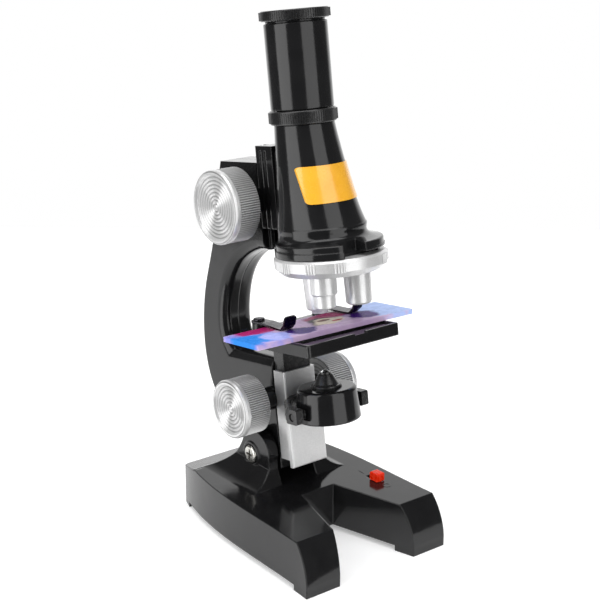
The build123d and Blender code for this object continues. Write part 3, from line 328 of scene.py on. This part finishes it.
def cell_wrap():
    """The batteries' printed sleeve: two plain colour bands."""
    material, shader = principled("cell_wrap", Metallic=0.3)
    separate = node(material, "ShaderNodeSeparateXYZ")
    join(material, place(material, 1.0), separate.inputs["Vector"])
    low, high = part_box("battery_cells")
    along = spread(material, separate.outputs["Y"], low.y, high.y, 0.0, 1.0)
    navy = (0.02, 0.05, 0.12)
    bands = ramp(material, along, [(0.0, navy), (0.62, navy), (0.66, (0.5, 0.5, 0.52))])
    join(material, bands, shader.inputs["Base Color"])
    join(material, spread(material, noise(material, 0.003), 0.3, 0.7, 0.25, 0.4), shader.inputs["Roughness"])
    return material


# The slide's art. Each patch has its centre and its radii, in millimetres from the slide's centre, along
# it and across it (the back is positive), and its colour. A patch goes right through the slide.
PATCH_THICKNESS = 1000.0
PATCH_SOFTNESS = 0.15
SLIDE_GROUND = (0.50, 0.36, 0.58)
SLIDE_PATCHES = (
    ((36.0, -1.0), (17.0, 15.0), (0.42, 0.54, 0.88)),
    ((-36.0, 0.0), (16.0, 13.0), (0.26, 0.28, 0.74)),
    ((-34.5, -2.0), (10.5, 8.5), (0.035, 0.24, 0.74)),
    ((-23.0, 9.5), (11.0, 5.5), (0.40, 0.020, 0.14)),
    ((-23.5, -4.5), (6.5, 6.5), (0.38, 0.42, 0.86)),
    ((-12.5, -5.0), (6.0, 5.5), (0.045, 0.016, 0.17)),
    ((11.0, 8.0), (14.0, 5.0), (0.28, 0.030, 0.11)),
    ((19.5, -2.5), (6.5, 7.0), (0.050, 0.014, 0.16)),
    ((3.0, 1.0), (7.5, 6.0), (0.020, 0.012, 0.020)),
    ((4.0, -0.4), (7.0, 5.4), (0.78, 0.68, 0.56)),
    ((3.0, 2.0), (3.4, 1.5), (0.20, 0.10, 0.08)),
    ((7.5, -2.0), (2.4, 1.3), (0.45, 0.030, 0.040)),
)


def slide_plastic():
    """The specimen slide: clear plastic over an abstract wash of blues, pinks and violet."""
    material, shader = principled("slide_plastic", IOR=1.5, Specular_IOR_Level=0.015)
    low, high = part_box("specimen_slide")
    centre = (low + high) / 2
    flat = place(material, MM, turn=(REST_TILT, 0.0, SLIDE_TURN), shift=tuple(-centre))
    edge_noise = noise(material, 0.006, detail=3.0)
    wobble = spread(material, edge_noise, 0.25, 0.75, -0.3, 0.3)
    wash = noise(material, 0.012, detail=3.0)
    colour = ramp(material, wash, [(0.3, SLIDE_GROUND), (0.7, (0.62, 0.46, 0.66))])
    for place_on_slide, radii, paint in SLIDE_PATCHES:
        mask = patch(material, flat, place_on_slide, radii, wobble)
        colour = mix(material, mask, colour, paint)
    join(material, colour, shader.inputs["Base Color"])
    join(material, spread(material, noise(material, 0.004), 0.3, 0.7, 0.2, 0.34), shader.inputs["Roughness"])
    raise_surface(material, shader, [(noise(material, 0.002, detail=1.0), 0.000008)])
    return material


def lens_glass():
    """Clear moulded lenses with a trace of dust."""
    material, shader = principled("lens_glass", Transmission_Weight=1.0, IOR=1.49)
    dust = noise(material, 0.0012, detail=6.0, roughness=0.7)
    join(material, spread(material, dust, 0.55, 0.8, 0.02, 0.12), shader.inputs["Roughness"])
    tint = ramp(material, dust, [(0.3, (0.93, 0.96, 0.97)), (0.7, (0.98, 0.99, 0.98))])
    join(material, tint, shader.inputs["Base Color"])
    return material


def led_epoxy():
    """The lamp's milky epoxy dome."""
    material, shader = principled("led_epoxy", Transmission_Weight=0.5, IOR=1.52)
    cloud = noise(material, 0.002, detail=3.0)
    tint = ramp(material, cloud, [(0.3, (0.82, 0.85, 0.86)), (0.7, (0.95, 0.95, 0.9))])
    join(material, tint, shader.inputs["Base Color"])
    join(material, spread(material, cloud, 0.3, 0.7, 0.08, 0.2), shader.inputs["Roughness"])
    return material


def mirror():
    """Silvered plastic mirror with faint wiping haze."""
    material, shader = principled("mirror", Metallic=1.0)
    haze = noise(material, 0.005, detail=6.0, roughness=0.7)
    tint = ramp(material, haze, [(0.3, (0.86, 0.88, 0.88)), (0.7, (0.93, 0.94, 0.94))])
    join(material, tint, shader.inputs["Base Color"])
    join(material, spread(material, haze, 0.4, 0.8, 0.02, 0.09), shader.inputs["Roughness"])
    return material


def make_finishes():
    """The finish of each material slot, by the slot's name."""
    return {
        "black_gloss": black_gloss(),
        "black_satin": black_satin(),
        "silver_plastic": silver_plastic(),
        "nickel_steel": brushed_metal("nickel_steel", (0.52, 0.51, 0.48), (0.66, 0.65, 0.61), 0.16, 0.3),
        "steel": brushed_metal("steel", (0.40, 0.40, 0.41), (0.54, 0.54, 0.55), 0.22, 0.38),
        "blued_spring": brushed_metal(
            "blued_spring", (0.030, 0.029, 0.034), (0.055, 0.052, 0.062), 0.18, 0.34
        ),
        "white_nylon": moulded("white_nylon", (0.72, 0.72, 0.69), (0.80, 0.80, 0.77)),
        "red_plastic": moulded("red_plastic", (0.86, 0.026, 0.004), (0.95, 0.036, 0.006), 0.22, 0.34),
        "yellow_label": yellow_label(),
        "cell_wrap": cell_wrap(),
        "slide_plastic": slide_plastic(),
        "lens_glass": lens_glass(),
        "led_epoxy": led_epoxy(),
        "mirror": mirror(),
    }


def finish_nodes(finishes):
    """Gives each CAD node its slot's finish, each knob its own silver with painted shade in its grooves, and
    the rivets the clips' blue.
    """
    for entry in frame["record"]["subparts"]:
        shape = NODES[entry["node"]]
        finish = finishes[entry["material_slot"]]
        if "knob" in entry["node"]:
            # Each knob's silver carries painted shade in its rim grooves and face ring valleys.
            finish = silver_plastic("silver_" + entry["node"], entry["node"])
        if entry["node"] == "clip_rivets":
            finish = finishes["blued_spring"]
        shape.data.materials.clear()
        shape.data.materials.append(finish)


# ---------------------------------------------------------------------------------------------
# Studio, in metres and watts. The table reaches from TABLE_FRONT on the camera's side of the object's
# middle to TABLE_BACK behind it.
# ---------------------------------------------------------------------------------------------

LIGHT_AIM = Vector((0.0, 0.0, 0.1))
SOFTBOX_DISTANCE = 1.2
SOFTBOX_SIZE = (1.0, 2.4)
TABLE_FRONT = 0.07
TABLE_BACK = 0.48
TABLE_HALF_WIDTH = 0.45
TABLE_GLOW = 0.33

OVERHEAD_ELEVATION = math.radians(84)
OVERHEAD_DISTANCE = 1.3
OVERHEAD_SIZE = (1.2, 1.2)
OVERHEAD_POWER = 14

# Each softbox: its name, its angle from the camera's in degrees, and its power.
SOFTBOXES = (("softbox_left", -57, 23), ("softbox_right", 42, 16))
SOFTBOX_ELEVATION = math.radians(8)

# How bright the room is behind the object and in front of it, and where between them it changes, from
# 0 straight behind to 1 straight at the camera.
BACKDROP = 1.25
BACKDROP_END = 0.10
ROOM = 0.13
ROOM_START = 0.20


def toward(azimuth, elevation):
    """The direction to an azimuth (0 in front, positive to the microscope's right) and an elevation."""
    flat = math.cos(elevation)
    return Vector((math.sin(azimuth) * flat, -math.cos(azimuth) * flat, math.sin(elevation)))


def make_camera():
    """The camera at CAMERA_PLACE, turned by its azimuth, its elevation and its small roll."""
    data = bpy.data.cameras.new("camera")
    data.lens = CAMERA_LENS
    data.sensor_width = CAMERA_SENSOR
    back = toward(CAMERA_AZIMUTH, CAMERA_ELEVATION)
    right = Vector((math.cos(CAMERA_AZIMUTH), math.sin(CAMERA_AZIMUTH), 0.0))
    up = back.cross(right)
    turn = Matrix.Rotation(CAMERA_ROLL, 3, back)
    right, up = turn @ right, turn @ up
    camera = bpy.data.objects.new("camera", data)
    bpy.context.scene.collection.objects.link(camera)
    camera.matrix_world = Matrix.Translation(CAMERA_PLACE) @ Matrix((right, up, back)).transposed().to_4x4()
    bpy.context.scene.camera = camera


def area_light(name, azimuth, elevation, distance, size, power):
    """A soft rectangle of light that faces the object and that the camera doesn't see."""
    data = bpy.data.lights.new(name, "AREA")
    data.shape = "RECTANGLE"
    data.size, data.size_y = size
    data.energy = power
    light = bpy.data.objects.new(name, data)
    bpy.context.scene.collection.objects.link(light)
    direction = toward(azimuth, elevation)
    light.location = LIGHT_AIM + direction * distance
    light.rotation_euler = direction.to_track_quat("Z", "Y").to_euler()
    light.visible_camera = False


def make_lights():
    """A tall softbox on each side of the camera, and a square one overhead."""
    for name, aside, power in SOFTBOXES:
        azimuth = CAMERA_AZIMUTH + math.radians(aside)
        area_light(name, azimuth, SOFTBOX_ELEVATION, SOFTBOX_DISTANCE, SOFTBOX_SIZE, power)
    area_light(
        "overhead", CAMERA_AZIMUTH, OVERHEAD_ELEVATION, OVERHEAD_DISTANCE, OVERHEAD_SIZE, OVERHEAD_POWER
    )


def make_world():
    """White behind the object and dim around the camera, with plain white where the camera looks."""
    world = bpy.data.worlds.new("studio")
    bpy.context.scene.world = world
    world.use_nodes = True
    tree = world.node_tree
    background = tree.nodes["Background"]
    coordinates = tree.nodes.new("ShaderNodeTexCoord")
    facing = tree.nodes.new("ShaderNodeVectorMath")
    facing.operation = "DOT_PRODUCT"
    facing.inputs[1].default_value = toward(CAMERA_AZIMUTH, 0.0)
    tree.links.new(coordinates.outputs["Generated"], facing.inputs[0])
    walls = tree.nodes.new("ShaderNodeValToRGB")
    stops = walls.color_ramp.elements
    for stop, position, level in ((stops[0], BACKDROP_END, BACKDROP), (stops[1], ROOM_START, ROOM)):
        stop.position = position
        stop.color = (level, level, level, 1.0)
    shifted = tree.nodes.new("ShaderNodeMath")
    shifted.operation = "MULTIPLY_ADD"
    shifted.inputs[1].default_value = 0.5
    shifted.inputs[2].default_value = 0.5
    tree.links.new(facing.outputs["Value"], shifted.inputs[0])
    tree.links.new(shifted.outputs["Value"], walls.inputs["Fac"])
    sight = tree.nodes.new("ShaderNodeLightPath")
    chosen = tree.nodes.new("ShaderNodeMix")
    chosen.data_type = "RGBA"
    tree.links.new(sight.outputs["Is Camera Ray"], chosen.inputs["Factor"])
    tree.links.new(walls.outputs["Color"], chosen.inputs[6])
    chosen.inputs[7].default_value = (1.0, 1.0, 1.0, 1.0)
    tree.links.new(chosen.outputs[2], background.inputs["Color"])


def make_floor():
    """A white light table: the object stands at its front edge, and it glows a little."""
    middle = (TABLE_BACK - TABLE_FRONT) / 2
    half_depth = (TABLE_FRONT + TABLE_BACK) / 2
    grid = bmesh.new()
    bmesh.ops.create_grid(grid, x_segments=8, y_segments=8, size=1.0)
    bmesh.ops.scale(grid, vec=(TABLE_HALF_WIDTH, half_depth, 1.0), verts=grid.verts)
    bmesh.ops.translate(grid, vec=(0.0, middle, 0.0), verts=grid.verts)
    mesh = bpy.data.meshes.new("floor")
    grid.to_mesh(mesh)
    grid.free()
    floor = bpy.data.objects.new("floor", mesh)
    floor.rotation_euler = (0.0, 0.0, CAMERA_AZIMUTH)
    bpy.context.scene.collection.objects.link(floor)
    material, shader = principled("floor_sheet", Roughness=0.6, Emission_Strength=TABLE_GLOW)
    shader.inputs["Emission Color"].default_value = (1.0, 1.0, 1.0, 1.0)
    fibre = noise(material, 0.01, detail=5.0)
    tone = ramp(material, fibre, [(0.3, (0.88, 0.88, 0.88)), (0.7, (0.9, 0.9, 0.9))])
    join(material, tone, shader.inputs["Base Color"])
    mesh.materials.append(material)


# ---------------------------------------------------------------------------------------------
# Moulded marks beside the switch
# ---------------------------------------------------------------------------------------------

MARK_HEIGHT = 0.12 * MM
MARK_SIZE = 1.9 * MM
MARK_STROKE = 0.35 * MM
MARK_CORNERS = 32
MARK_CAST_FROM = 0.1
MARK_BEHIND = 8.0 * MM
MARK_AHEAD = 4.0 * MM


def oval(half_width, half_length):
    """Points around an oval, about its middle."""
    steps = [2 * math.pi * i / MARK_CORNERS for i in range(MARK_CORNERS)]
    return [(half_width * math.cos(angle), half_length * math.sin(angle)) for angle in steps]


def mark(name, outer, inner, spot, finish):
    """A low raised loop between two outlines, half sunk into the base at a spot on its surface."""
    made = bmesh.new()
    rings = []
    for z in (spot.z - MARK_HEIGHT, spot.z + MARK_HEIGHT):
        for outline in (outer, inner):
            rings.append([made.verts.new((spot.x + x, spot.y + y, z)) for x, y in outline])
    outer_low, inner_low, outer_high, inner_high = rings
    for i in range(MARK_CORNERS):
        j = (i + 1) % MARK_CORNERS
        made.faces.new((outer_low[i], outer_low[j], outer_high[j], outer_high[i]))
        made.faces.new((inner_low[j], inner_low[i], inner_high[i], inner_high[j]))
        made.faces.new((outer_high[i], outer_high[j], inner_high[j], inner_high[i]))
        made.faces.new((outer_low[j], outer_low[i], inner_low[i], inner_low[j]))
    mesh = bpy.data.meshes.new(name)
    made.to_mesh(mesh)
    made.free()
    mesh.materials.append(finish)
    piece = bpy.data.objects.new(name, mesh)
    bpy.context.scene.collection.objects.link(piece)
    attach(piece, "base")


def make_switch_marks(finish):
    """A narrow oval bar for on, behind the switch, and a ring for off, in front of it."""
    low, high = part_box("switch_slider")
    across = (low.x + high.x) / 2
    bar = oval(MARK_STROKE, MARK_SIZE), oval(MARK_STROKE / 4, MARK_SIZE / 4)
    inside = MARK_SIZE - 2 * MARK_STROKE
    ring = oval(MARK_SIZE, MARK_SIZE), oval(inside, inside)
    places = (("mark_on", high.y + MARK_BEHIND, bar), ("mark_off", low.y - MARK_AHEAD, ring))
    for name, along, (outer, inner) in places:
        above = Vector((across, along, MARK_CAST_FROM))
        _, spot, _, _ = NODES["base_shell"].ray_cast(above, Vector((0.0, 0.0, -1.0)))
        mark(name, outer, inner, spot, finish)


# ---------------------------------------------------------------------------------------------
# The scene
# ---------------------------------------------------------------------------------------------

make_camera()
make_lights()
make_world()
make_floor()
finishes = make_finishes()
finish_nodes(finishes)
make_switch_marks(finishes["black_satin"])

bpy.context.scene.view_settings.view_transform = "Standard"
